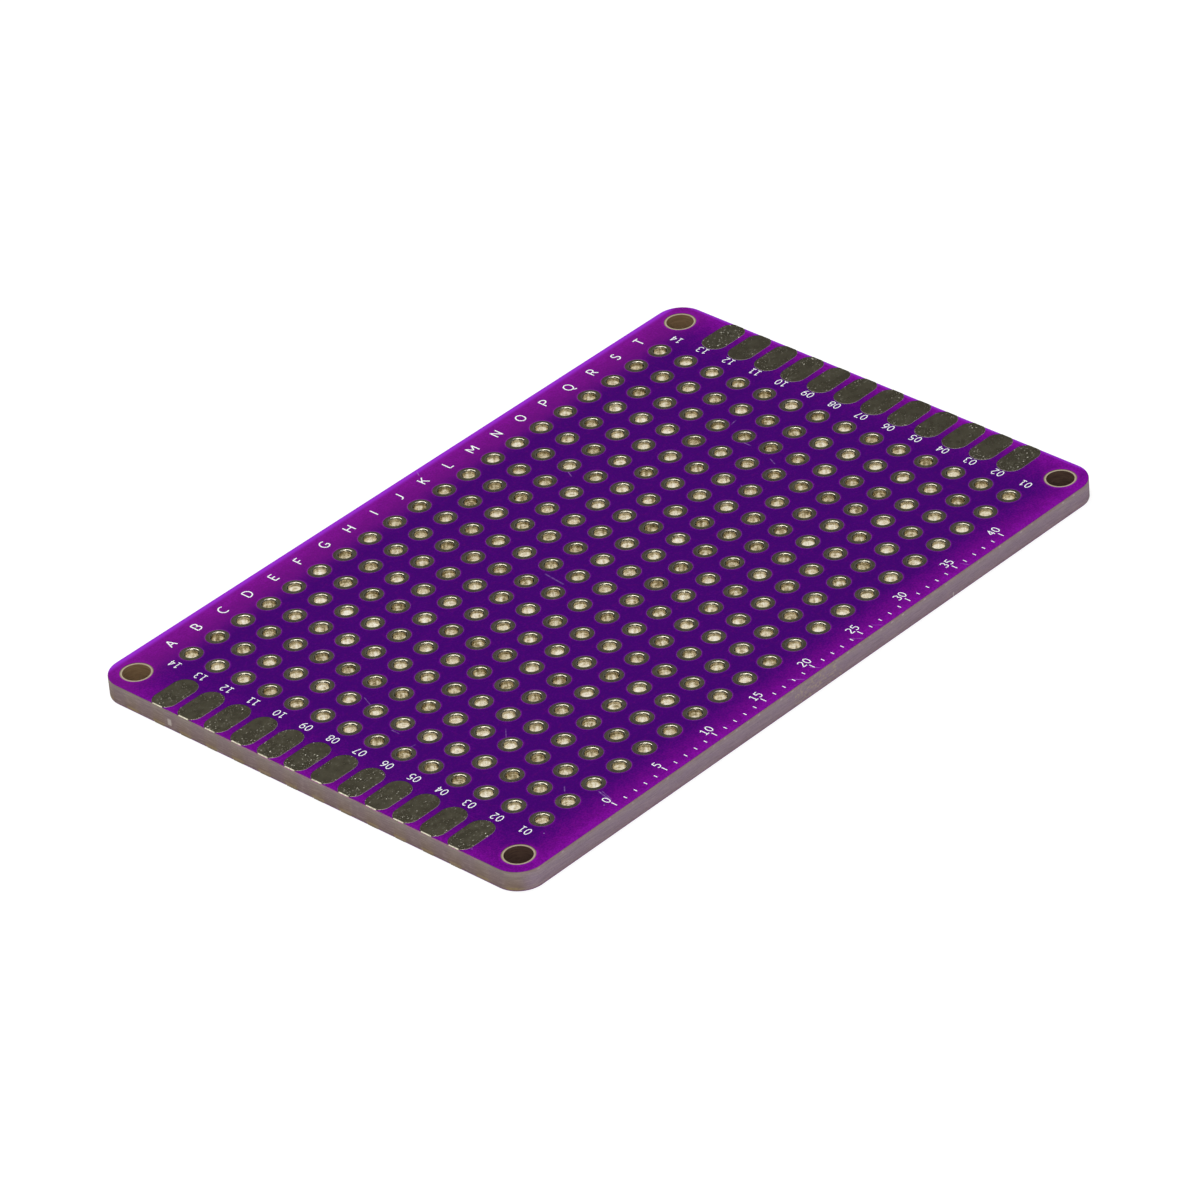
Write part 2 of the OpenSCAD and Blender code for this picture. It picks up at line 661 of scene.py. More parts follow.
@dataclass(frozen=True)
class MaskFinish:
    """Purple solder mask, with light painted into its colour: it glows more magenta where the laminate lets
    light in at its edges and round its openings, and has a painted violet rim light along the two far edges.

    A scratch is both its ends, half its width in millimetres and its strength. A smudge is its
    middle, its radius and its strength.
    """

    layout: Layout
    roughness: float = 0.42
    specular: float = 0.02
    scratches: tuple[tuple[float, ...], ...] = (
        (-19.55, -17.45, -19.87, -18.89, 0.05, 0.5),
        (-19.4, -17.6, -19.7, -18.7, 0.03, 0.35),
        (-2.2, -19.0, -1.5, -19.85, 0.04, 0.4),
        (-0.2, -19.2, 0.2, -19.85, 0.03, 0.35),
        (4.0, -19.1, 4.6, -19.85, 0.04, 0.4),
        (6.2, -19.3, 6.6, -19.85, 0.03, 0.35),
        (15.6, -19.3, 15.8, -19.85, 0.03, 0.35),
        (-2.4, 3.3, -2.6, 1.4, 0.06, 0.25),
        (-20.9, -15.6, -20.5, -15.2, 0.04, 0.3),
        (1.6, 19.3, 1.9, 19.8, 0.04, 0.4),
        (-20.9, 3.0, -21.3, 2.0, 0.03, 0.4),
        (-22.6, -1.2, -22.6, -1.9, 0.04, 0.35),
        (-23.6, -3.6, -22.9, -3.7, 0.04, 0.35),
        (-17.9, -7.4, -18.6, -8.1, 0.03, 0.3),
        (19.7, 5.6, 20.3, 5.7, 0.04, 0.35),
        (18.4, 3.4, 18.4, 2.6, 0.04, 0.35),
        (17.9, 0.3, 17.6, -0.4, 0.04, 0.3),
        (14.1, -0.3, 13.8, -0.8, 0.04, 0.35),
        (8.3, 11.1, 7.9, 10.3, 0.03, 0.4),
    )
    smudges: tuple[tuple[float, ...], ...] = (
        (-25.25, -17.75, 0.07, 0.7),
        (-20.5, -18.8, 0.07, 0.7),
        (-29.4, -15.1, 0.07, 0.5),
    )

    def painted_glow(self, graph: Graph) -> Value:
        """Returns how strongly the mask is painted as glowing, for light let in by the laminate: 1 at the
        board's edges and 0 in the hole grid.
        """
        half_l = self.layout.high.x / MM
        half_w = self.layout.high.y / MM
        from_end = graph.math("SUBTRACT", half_l, graph.out_x)
        from_near = graph.math("ADD", half_w, graph.y)
        from_far = graph.math("SUBTRACT", half_w, graph.y)

        def fade(distance: Value, reach: float, power: float, level: float) -> Value:
            """Returns a level that falls off with the distance from an edge."""
            left = graph.math("SUBTRACT", 1.0, graph.math("DIVIDE", distance, reach))
            left = graph.math("MINIMUM", graph.math("MAXIMUM", left, 0.0), 1.0)
            return graph.math("MULTIPLY", graph.math("POWER", left, power), level)

        far = graph.all_of(fade(from_far, 4.0, 1.0, 1.08), graph.span(from_far, 4.0, 2.6))
        level = graph.math("ADD", 0.91, graph.math("MULTIPLY", graph.x, 0.003))
        ends = graph.all_of(fade(from_end, 6.5, 2.0, 1.0), level)
        return graph.most_of(fade(from_near, 3.1, 1.0, 0.96), far, ends)

    def painted_violet_rim(self, graph: Graph) -> Value:
        """Returns how much painted violet rim light the mask has at the two edges away from the camera."""
        from_far = graph.math("SUBTRACT", self.layout.high.y / MM, graph.y)
        from_right = graph.math("SUBTRACT", self.layout.high.x / MM, graph.x)
        far = graph.span(from_far, 0.6, 0.2, 0.0, 0.85)
        return graph.most_of(far, graph.span(from_right, 0.35, 0.1, 0.0, 0.6))

    def painted_halo(self, graph: Graph) -> Value:
        """Returns how much the thin rim of the mask is painted as lit up round its openings."""
        radius, _ = graph.per_hole(self.layout.pitch / MM)
        pad_r = self.layout.pad_r / MM
        in_x = graph.span(graph.out_x, GRID_X, 25.3)
        in_y = graph.span(graph.out_y, GRID_Y, 17.7)
        round_pads = graph.all_of(graph.span(radius, pad_r + 0.2, pad_r + 0.06), in_x, in_y, 0.42)
        return graph.most_of(round_pads, graph.all_of(graph.span(graph.from_mounts(), 1.5, 1.18), 0.3))

    def rim(self, graph: Graph) -> Value:
        """Returns how pale the very edge of the mask is round the holes' rings."""
        radius, _ = graph.per_hole(self.layout.pitch / MM)
        pad_r = self.layout.pad_r / MM
        in_x = graph.math("LESS_THAN", graph.out_x, GRID_X)
        in_y = graph.math("LESS_THAN", graph.out_y, GRID_Y)
        return graph.all_of(graph.span(radius, pad_r + 0.08, pad_r + 0.03), in_x, in_y, 0.18)

    def streak(self, graph: Graph, scratch: tuple) -> Value:
        """Returns a factor along one scratch.

        Args:
            graph: the material's nodes.
            scratch: both ends, half the width in millimetres, and the strength.

        Returns:
            The strength on the scratch, 0 off it.
        """
        x0, y0, x1, y1, half, strength = scratch
        length = math.hypot(x1 - x0, y1 - y0)
        ux, uy = (x1 - x0) / length, (y1 - y0) / length
        dx = graph.math("SUBTRACT", graph.x, (x0 + x1) / 2)
        dy = graph.math("SUBTRACT", graph.y, (y0 + y1) / 2)
        along = graph.math("ADD", graph.math("MULTIPLY", dx, ux), graph.math("MULTIPLY", dy, uy))
        across = graph.math("SUBTRACT", graph.math("MULTIPLY", dx, uy), graph.math("MULTIPLY", dy, ux))
        within = graph.bump_at(along, 0.0, length / 2 - 0.1, 0.2)
        return graph.all_of(within, graph.bump_at(across, 0.0, 0.0, half * 1.6), strength)

    def wear(self, graph: Graph) -> Value:
        """Returns how pale the mask is scuffed."""
        marks = [self.streak(graph, scratch) for scratch in self.scratches]
        for x, y, radius, strength in self.smudges:
            distance = graph.distance(graph.place, (x, y, FILM_TOP))
            marks.append(graph.all_of(graph.span(distance, radius, radius * 0.2), strength))
        broken = graph.span(graph.noise(5.0, 3.0, shift=7.0), 0.35, 0.6, 0.3, 1.0)
        return graph.all_of(graph.most_of(*marks), broken, graph.is_upper())

    def make(self, name: str) -> bpy.types.Material:
        """Builds the material.

        Args:
            name: its name.

        Returns:
            The material.
        """
        graph = Graph(name)
        mottle = graph.noise(1.4, 4.0)
        grain = graph.noise(6.0, 3.0, shift=3.0)
        # Painted glowing light at the edges and round the openings, with random mottle and grain
        light = graph.math("ADD", self.painted_glow(graph), self.painted_halo(graph))
        light = graph.math("ADD", light, graph.span(mottle, 0.3, 0.7, -0.08, 0.08))
        light = graph.math("ADD", light, graph.span(grain, 0.3, 0.7, -0.16, 0.16))
        light = graph.math("ADD", light, graph.span(graph.noise(15.0, 1.0, shift=8.0), 0.3, 0.7, -0.12, 0.12))
        colour = graph.ramp(
            light,
            (0.0, srgb(62, 1, 105)),
            (0.12, srgb(68, 1, 109)),
            (0.4, srgb(86, 1, 119)),
            (0.62, srgb(100, 3, 125)),
            (0.82, srgb(113, 5, 138)),
            (1.0, srgb(128, 10, 152)),
        )
        far_band = graph.all_of(graph.span(graph.y, 15.5, 18.0), 0.35)
        colour = graph.mix(far_band, colour, srgb(122, 24, 122))
        colour = graph.mix(self.rim(graph), colour, srgb(150, 128, 160))
        tint = graph.noise(3.2, 2.0, shift=12.0)
        colour = graph.mix(graph.span(tint, 0.5, 0.75, 0.0, 0.22), colour, srgb(104, 8, 104))
        # Painted violet rim light along the far edges
        colour = graph.mix(self.painted_violet_rim(graph), colour, srgb(150, 45, 205))
        colour = graph.mix(self.wear(graph), colour, srgb(190, 150, 215))
        graph.relief(grain, 0.01 * MM, 0.25)
        return graph.finish(colour, self.roughness, 0.0, self.specular)


@dataclass(frozen=True)
class LaminateFinish:
    """Cut glass-epoxy: mauve grey on the long sides, browner on the short ones, beige on its faces."""

    layout: Layout
    roughness: float = 0.75
    specular: float = 0.12

    def long_side(self, graph: Graph, depth: Value) -> Value:
        """Colours the long walls.

        Args:
            graph: the material's nodes.
            depth: the depth under the upper face, in millimetres.

        Returns:
            The colour.
        """
        long_side = graph.ramp(
            graph.math("DIVIDE", depth, 1.5),
            (0.0, srgb(154, 116, 134)),
            (0.06, srgb(153, 134, 130)),
            (0.13, srgb(152, 136, 141)),
            (0.4, srgb(146, 128, 143)),
            (0.75, srgb(144, 124, 138)),
            (0.93, srgb(146, 125, 134)),
            (1.0, srgb(148, 122, 108)),
        )
        dot_x = graph.math("SUBTRACT", graph.math("FLOORED_MODULO", graph.x, 1.15), 0.575)
        dots = graph.all_of(
            graph.bump_at(dot_x, 0.0, 0.05, 0.12),
            graph.bump_at(depth, 0.14, 0.03, 0.06),
            graph.span(graph.noise(0.8, 2.0, shift=2.0), 0.4, 0.6),
        )
        long_side = graph.mix(graph.all_of(dots, 0.6), long_side, srgb(200, 188, 186))
        tab = graph.all_of(graph.bump_at(graph.x, -0.25, 2.35, 0.15), graph.math("LESS_THAN", graph.y, 0.0))
        torn = graph.span(graph.noise(3.5, 4.0, stretch=(1, 1, 1.6), shift=9.0), 0.5, 0.68)
        long_side = graph.mix(graph.all_of(tab, torn, 0.7), long_side, srgb(176, 160, 138))
        scratch = graph.all_of(
            graph.bump_at(graph.x, 13.9, 0.02, 0.08),
            graph.bump_at(depth, 1.33, 0.12, 0.08),
            graph.math("LESS_THAN", graph.y, 0.0),
        )
        return graph.mix(graph.all_of(scratch, 0.7), long_side, srgb(205, 195, 195))

    def short_side(self, graph: Graph, depth: Value) -> Value:
        """Colours the short walls.

        Args:
            graph: the material's nodes.
            depth: the depth under the upper face, in millimetres.

        Returns:
            The colour.
        """
        short_side = graph.ramp(
            graph.math("DIVIDE", depth, 1.5),
            (0.0, srgb(142, 128, 118)),
            (0.1, srgb(148, 136, 128)),
            (0.25, srgb(139, 124, 118)),
            (0.6, srgb(132, 114, 104)),
            (1.0, srgb(120, 100, 82)),
        )
        wave = graph.math("COSINE", graph.math("MULTIPLY", graph.y, 2 * math.pi / (self.layout.pitch / MM)))
        bands = graph.span(graph.math("ADD", wave, graph.noise(1.5, 3.0, shift=11.0)), -0.4, 1.4)
        short_side = graph.mix(graph.all_of(bands, 0.4), short_side, srgb(128, 108, 120))
        low_patch = graph.all_of(graph.span(wave, 0.1, -0.5), graph.span(depth, 1.15, 1.35))
        short_side = graph.mix(graph.all_of(low_patch, 0.6), short_side, srgb(156, 136, 96))
        flake_line = graph.all_of(
            graph.bump_at(depth, 0.055, 0.01, 0.03),
            graph.bump_at(graph.y, -3.0, 13.0, 0.5),
            graph.span(graph.noise(2.6, 4.0, stretch=(1, 1, 0.2), shift=5.0), 0.4, 0.55),
        )
        short_side = graph.mix(graph.all_of(flake_line, 0.9), short_side, srgb(198, 84, 182))
        chip = graph.all_of(graph.bump_at(graph.y, 12.9, 0.1, 0.15), graph.bump_at(depth, 0.95, 0.2, 0.1))
        return graph.mix(graph.all_of(chip, 0.6), short_side, srgb(215, 205, 195))

    def bored(self, graph: Graph, colour: Value) -> Value:
        """Colours the mounting holes, with shade painted down their bores, and the bare rings round them.

        Args:
            graph: the material's nodes.
            colour: the colour outside them.

        Returns:
            The colour everywhere.
        """
        corner_r = graph.from_mounts()
        ring = graph.mix(graph.noise(5.0, 3.0, shift=8.0), srgb(150, 138, 114), srgb(186, 174, 150))
        ring = graph.mix(graph.span(corner_r, 1.1, 1.15), ring, srgb(124, 104, 92))
        colour = graph.mix(graph.span(corner_r, 1.25, 1.2), colour, ring)
        # Painted shade down the bores: deep brown, lighter on the far holes than on the near ones, with
        # turning marks
        turned = graph.span(graph.noise(2.5, 3.0, stretch=(0.5, 0.5, 4.0)), 0.3, 0.7)
        lighter_far_holes = graph.span(graph.y, -19.0, 17.0)
        deep_bore_shade = graph.mix(lighter_far_holes, srgb(78, 58, 50), srgb(126, 102, 74))
        pale = graph.mix(lighter_far_holes, srgb(104, 82, 68), srgb(152, 126, 94))
        shaded_bore = graph.mix(graph.all_of(turned, 0.5), deep_bore_shade, pale)
        return graph.mix(graph.span(corner_r, 1.012, 1.004), colour, shaded_bore)

    def make(self, name: str) -> bpy.types.Material:
        """Builds the material.

        Args:
            name: its name.

        Returns:
            The material.
        """
        graph = Graph(name)
        nx, _, nz = graph.split(graph.normal)
        depth = graph.math("SUBTRACT", self.layout.high.z / MM, graph.z)
        walls = self.long_side(graph, depth), self.short_side(graph, depth)
        side = graph.mix(graph.span(graph.math("ABSOLUTE", nx), 0.35, 0.85), *walls)
        fibres = graph.noise(7.0, 4.0, stretch=(1, 1, 2.5), shift=1.0)
        side = graph.mix(graph.span(fibres, 0.35, 0.75, 0.0, 0.28), side, srgb(96, 80, 84))
        clouds = graph.noise(2.2, 3.0, shift=4.0)
        side = graph.mix(graph.span(clouds, 0.5, 0.8, 0.0, 0.35), side, srgb(156, 140, 138))
        layers = graph.noise(2.0, 3.0, stretch=(0.5, 0.5, 7.0), shift=14.0)
        side = graph.mix(graph.span(layers, 0.5, 0.7, 0.0, 0.3), side, srgb(172, 154, 152))
        side = graph.mix(graph.span(layers, 0.5, 0.3, 0.0, 0.25), side, srgb(104, 88, 90))
        face = graph.mix(graph.noise(4.0, 3.0, shift=6.0), srgb(118, 110, 84), srgb(146, 134, 106))
        colour = graph.mix(graph.span(graph.math("ABSOLUTE", nz), 0.5, 0.8), side, face)
        colour = self.bored(graph, colour)
        graph.relief(fibres, 0.03 * MM, 0.5)
        return graph.finish(colour, self.roughness, 0.0, self.specular)


@dataclass(frozen=True)
class HoleFinish:
    """Tin of the plated holes: dull olive on the flat rings with pale pitted specks painted bright as glints,
    and painted light down the barrels: bright and cream coloured, darker near the top, brighter with depth
    and in blotches of painted shine.
    """

    layout: Layout

    def make(self, name: str) -> bpy.types.Material:
        """Builds the material.

        Args:
            name: its name.

        Returns:
            The material.
        """
        graph = Graph(name)
        radius, chance = graph.per_hole(self.layout.pitch / MM)
        depth = graph.math("SUBTRACT", BOARD_T, graph.z)
        mottle = graph.noise(3.5, 4.0)
        flat = graph.mix(graph.span(mottle, 0.35, 0.7), srgb(138, 133, 111), srgb(164, 157, 134))
        # Pale pitted specks, painted bright as glints of the tin
        pits_and_glints = graph.flecks(9.0, 0.28, 0.12, shift=2.0)
        flat = graph.mix(graph.all_of(pits_and_glints, 0.6), flat, srgb(250, 244, 230))
        # Painted light down the barrels: blotches of painted shine, the upper barrel painted darker as shade
        # and the deeper barrel brighter, as if lit by light reflected up through the hole
        spread = graph.noise(2.6, 4.0, stretch=(1.4, 1.4, 0.7), shift=5.0)
        turns = graph.noise(2.2, 3.0, stretch=(0.6, 0.6, 4.0), shift=10.0)
        painted_sheen = graph.math("ADD", graph.math("MULTIPLY", spread, 0.6), graph.math("MULTIPLY", turns, 0.4))
        barrel = graph.ramp(
            graph.math("ADD", painted_sheen, graph.span(chance, 0.0, 1.0, -0.04, 0.04)),
            (0.38, srgb(160, 148, 118)),
            (0.47, srgb(232, 223, 200)),
            (0.58, srgb(255, 252, 244)),
        )
        upper = graph.mix(graph.span(painted_sheen, 0.38, 0.6), srgb(150, 141, 116), srgb(218, 208, 184))
        barrel = graph.mix(graph.span(depth, 0.2, 0.38), upper, barrel)
        lip = graph.mix(spread, srgb(188, 182, 162), srgb(222, 216, 198))
        in_barrel = graph.span(depth, 0.1, 0.125)
        inside = graph.mix(in_barrel, lip, barrel)
        colour = graph.mix(graph.span(radius, 0.64, 0.58), flat, inside)
        rough_lip = graph.span(radius, 0.65, 0.6, 0.32, 0.13)
        roughness = graph.most_of(rough_lip, graph.all_of(in_barrel, 0.2))
        graph.relief(graph.all_of(painted_sheen, graph.span(depth, 0.16, 0.34)), 0.07 * MM, 0.4)
        return graph.finish(colour, roughness, 1.0, 0.5)


@dataclass(frozen=True)
class PadFinish:
    """Tin of the edge pads: dull olive, with small pale pitted specks and scratches painted bright as glints,
    a bright routed end painted as a highlight on the upper left pads, and a painted highlight along the
    rounded rim.
    """

    layout: Layout

    def make(self, name: str) -> bpy.types.Material:
        """Builds the material.

        Args:
            name: its name.

        Returns:
            The material.
        """
        graph = Graph(name)
        mottle = graph.noise(1.6, 5.0)
        dull = graph.mix(graph.span(mottle, 0.35, 0.7), srgb(138, 132, 110), srgb(149, 143, 120))
        # Pale specks and scratches, painted bright as glints of the tin
        crowd = graph.span(graph.noise(0.45, 2.0, shift=4.0), 0.38, 0.55, 0.15, 1.0)
        scuff_glints = graph.span(graph.noise(4.5, 4.0, stretch=(1.0, 1.8, 1.0), shift=1.0), 0.64, 0.69)
        nick_glints = graph.span(graph.noise(11.0, 2.0, stretch=(1.6, 1.0, 1.0), shift=6.0), 0.69, 0.73)
        tiny = graph.all_of(graph.flecks(9.0, 0.22, 0.1, shift=9.0), 0.6)
        pits_and_glints = graph.most_of(graph.all_of(graph.most_of(scuff_glints, nick_glints), crowd), tiny)
        colour = graph.mix(pits_and_glints, dull, srgb(236, 232, 214))
        # Painted highlight on the routed end of the left pads' upper face, broken up by noise
        from_end = graph.math("SUBTRACT", self.layout.high.x / MM, graph.out_x)
        upper_left = graph.all_of(graph.is_upper(), graph.math("LESS_THAN", graph.x, 0.0))
        highlight_breaks = graph.span(graph.noise(6.0, 2.0), 0.3, 0.6, 0.6, 1.0)
        pitch = self.layout.pitch / MM
        off_row = graph.math("SUBTRACT", graph.math("FLOORED_MODULO", graph.y, pitch), pitch / 2)
        chord = graph.span(graph.math("ABSOLUTE", off_row), 0.48, 0.43)
        cut_end_highlight = graph.all_of(graph.span(from_end, 0.085, 0.055), chord, highlight_breaks, upper_left)
        colour = graph.mix(cut_end_highlight, colour, srgb(246, 238, 214))
        is_lower = graph.math("LESS_THAN", graph.z, BOARD_MIDDLE)
        lower_end = graph.all_of(graph.span(from_end, 0.06, 0.04), is_lower)
        colour = graph.mix(lower_end, colour, srgb(112, 96, 82))
        # Painted highlight: the pads' rounded rim, short of the routed end, is painted pale and dull
        _, _, nz = graph.split(graph.normal)
        leans = graph.span(graph.math("ABSOLUTE", nz), 0.97, 0.8)
        rim = graph.all_of(leans, graph.span(from_end, 0.1, 0.2), 0.85)
        colour = graph.mix(rim, colour, srgb(196, 186, 176))
        graph.relief(graph.math("ADD", mottle, pits_and_glints), 0.012 * MM, 0.2)
        metallic = graph.math("SUBTRACT", 1.0, graph.most_of(lower_end, cut_end_highlight, pits_and_glints, rim))
        return graph.finish(colour, graph.span(mottle, 0.3, 0.7, 0.26, 0.32), metallic, 0.5)


@dataclass(frozen=True)
class InkFinish:
    """White printed ink, thin and slightly uneven."""

    roughness: float = 0.6
    specular: float = 0.1

    def make(self, name: str) -> bpy.types.Material:
        """Builds the material.

        Args:
            name: its name.

        Returns:
            The material.
        """
        graph = Graph(name)
        thin = graph.span(graph.noise(8.0, 3.0), 0.45, 0.75, 0.0, 0.2)
        colour = graph.mix(thin, srgb(250, 254, 252), srgb(205, 192, 230))
        return graph.finish(colour, self.roughness, 0.0, self.specular)


@dataclass
class Plate:
    """A plate with the board's outline: the laminate or a film of mask."""

    layout: Layout
    corner_r: float = 2.0 * MM
    corner_steps: int = 12
    hole_sides: int = 28

    @property
    def tall(self) -> float:
        """Returns the height of a rod that goes right through, a third of it below the board."""
        return 4 * self.layout.high.z

    def outline(self, low_z: float, high_z: float, setback: float) -> Workpiece:
        """Makes a block with the board's round corners.

        Args:
            low_z: its lower face.
            high_z: its upper face.
            setback: how far it stops short of the board's outline.

        Returns:
            The plate.
        """
        half_l, half_w = self.layout.high.x - setback, self.layout.high.y - setback
        plate = Workpiece.block(Vector((-half_l, -half_w, low_z)), Vector((half_l, half_w, high_z)))
        plate.edit()
        plate.pick(Part.EDGES, lambda edge: abs(edge.verts[0].co.z - edge.verts[1].co.z) > NEAR)
        bpy.ops.mesh.bevel(offset=self.corner_r - setback, segments=self.corner_steps, affect="EDGES")
        plate.done()
        return plate

    def grid_of_rods(self, radius: float) -> Workpiece:
        """Makes a rod at every plated hole.

        Args:
            radius: the rods' radius.

        Returns:
            All the rods as one piece.
        """
        start = Vector((self.layout.columns[0], self.layout.rows[0], -self.tall / 3))
        rods = Workpiece.rod(radius, start, self.tall, self.hole_sides)
        rods.repeat(len(self.layout.columns), Vector((self.layout.pitch, 0, 0)))
        rods.repeat(len(self.layout.rows), Vector((0, self.layout.pitch, 0)))
        return rods

    def corner_rods(self, radius: float, inset: float) -> Workpiece:
        """Makes a rod at every mounting hole.

        Args:
            radius: the rods' radius.
            inset: the way from a hole's middle to both edges beside it.

        Returns:
            The four rods as one piece.
        """
        reach = Vector((self.layout.high.x - inset, self.layout.high.y - inset, 0))
        start = Vector((-reach.x, -reach.y, -self.tall / 3))
        rods = Workpiece.rod(radius, start, self.tall, 2 * self.hole_sides)
        rods.repeat(2, Vector((2 * reach.x, 0, 0)))
        rods.repeat(2, Vector((0, 2 * reach.y, 0)))
        return rods


@dataclass
class Laminate(Plate):
    """The glass-epoxy plate, with the rough stub of its break-off tab on the near long side."""

    mount_r: float = 1.0 * MM
    mount_inset: float = 2.0 * MM
    drill_r: float = 0.57 * MM
    arris: float = 0.025 * MM
    tab_from: float = -2.7 * MM
    tab_to: float = 2.2 * MM
    tab_cuts: int = 14
    tab_depth: float = 0.07 * MM
    tab_margin: float = 0.06 * MM
    tab_seed: int = 4
    sharp_from: float = 30

    def roughen_tab(self, plate: Workpiece) -> None:
        """Breaks up the side wall where the tab was snapped off.

        Args:
            plate: the plate.
        """
        near_y, low_z, high_z = self.layout.low.y, self.layout.low.z, self.layout.high.z

        def on_wall(face: bmesh.types.BMFace) -> bool:
            """Says whether a face lies in the near long wall."""
            return face.normal.y < -0.99

        plate.edit()
        for cut in range(self.tab_cuts + 1):
            x = self.tab_from + (self.tab_to - self.tab_from) * cut / self.tab_cuts
            plate.pick(Part.FACES, on_wall)
            bpy.ops.mesh.bisect(plane_co=(x, 0, 0), plane_no=(1, 0, 0), threshold=MERGE)
        for share in (0.25, 0.5, 0.75):
            plate.pick(Part.FACES, lambda face: on_wall(face) and self.in_tab(face.calc_center_median().x))
            level = low_z + share * (high_z - low_z)
            bpy.ops.mesh.bisect(plane_co=(0, 0, level), plane_no=(0, 0, 1), threshold=MERGE)
        plate.pick(Part.VERTS, lambda vert: self.inside_tab(vert.co, near_y, low_z, high_z))
        bpy.ops.transform.translate(value=(0, self.tab_depth * 0.6, 0))
        bpy.ops.transform.vertex_random(offset=self.tab_depth * 0.5, seed=self.tab_seed)
        plate.done()

    def in_tab(self, x: float) -> bool:
        """Says whether a place along X is within the tab's stub."""
        return self.tab_from < x < self.tab_to

    def inside_tab(self, place: Vector, near_y: float, low_z: float, high_z: float) -> bool:
        """Says whether a vertex is within the stub, off its border."""
        margin = self.tab_margin
        on_wall = abs(place.y - near_y) < NEAR
        off_sides = self.tab_from + margin < place.x < self.tab_to - margin
        return on_wall and off_sides and low_z + margin < place.z < high_z - margin

    def build(self) -> Workpiece:
        """Models the plate.

        Returns:
            The plate, drilled.
        """
        low_z, high_z = self.layout.low.z, self.layout.high.z
        plate = self.outline(low_z, high_z, 0.0)
        plate.edit()
        plate.pick(Part.EDGES, lambda edge: abs(edge.verts[0].co.z - edge.verts[1].co.z) < NEAR)
        bpy.ops.mesh.bevel(offset=self.arris, segments=1, affect="EDGES")
        plate.done()
        self.roughen_tab(plate)
        plate.cut(self.grid_of_rods(self.drill_r))
        plate.cut(self.corner_rods(self.mount_r, self.mount_inset))
        plate.smooth(self.sharp_from)
        return plate

    def make(self) -> None:
        """Models and dresses the laminate."""
        plate = self.build()
        plate.dress(LaminateFinish(self.layout).make("glass_epoxy"))
        plate.hand_in("laminate_plate", "laminate", "laminate")


@dataclass
class MaskFilms(Plate):
    """The films of solder mask on both faces, open round every pad and mounting hole."""

    gap: float = 0.022 * MM
    rise: float = 0.01 * MM
    mount_ring_r: float = 1.19 * MM
    mount_inset: float = 2.0 * MM
    oval_w: float = 2.0 * MM
    oval_cut: float = 0.1 * MM

    def oval_rods(self, side: Side) -> Workpiece:
        """Makes the openings of all edge pads at one end.

        Args:
            side: the end.

        Returns:
            The openings' rods as one piece.
        """
        pad_low, pad_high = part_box(f"{side.name.lower()}_edge_pads_{PAD_ROWS[0]}")
        inner = pad_low.x if side is Side.RIGHT else pad_high.x
        end_r = self.oval_w / 2
        start = inner + side.value * end_r
        reach = abs(self.layout.high.x + self.oval_cut - end_r - abs(start))
        first = Vector((start, self.layout.row(PAD_ROWS[0]), -self.tall / 3))
        rod = Workpiece.rod(end_r + self.gap, first, self.tall, self.hole_sides)
        rod.edit()
        rod.pick(Part.VERTS, lambda vert: side.value * (vert.co.x - start) > NEAR)
        bpy.ops.transform.translate(value=(side.value * reach, 0, 0))
        rod.done()
        rod.repeat(len(PAD_ROWS), Vector((0, self.layout.pitch, 0)))
        return rod

    def build(self) -> Workpiece:
        """Models the upper film.

        Returns:
            The film.
        """
        low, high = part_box("top_mask")
        film = self.outline(low.z, high.z + self.rise, self.layout.high.x - high.x)
        film.cut(self.grid_of_rods(self.layout.pad_r + self.gap))
        film.cut(self.corner_rods(self.mount_ring_r, self.mount_inset))
        film.cut(Workpiece.joined([self.oval_rods(Side.LEFT), self.oval_rods(Side.RIGHT)]))
        return film

    def make(self) -> None:
        """Models and dresses both films."""
        top = self.build()
        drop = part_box("bottom_mask")[1].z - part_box("top_mask")[1].z - self.rise
        bottom = top.copy(Matrix.Translation((0, 0, drop)))
        material = MaskFinish(self.layout).make("purple_mask")
        for film, face in ((top, "top"), (bottom, "bottom")):
            film.dress(material)
            film.hand_in(f"mask_film_{face}", "solder_mask", f"{face}_mask")


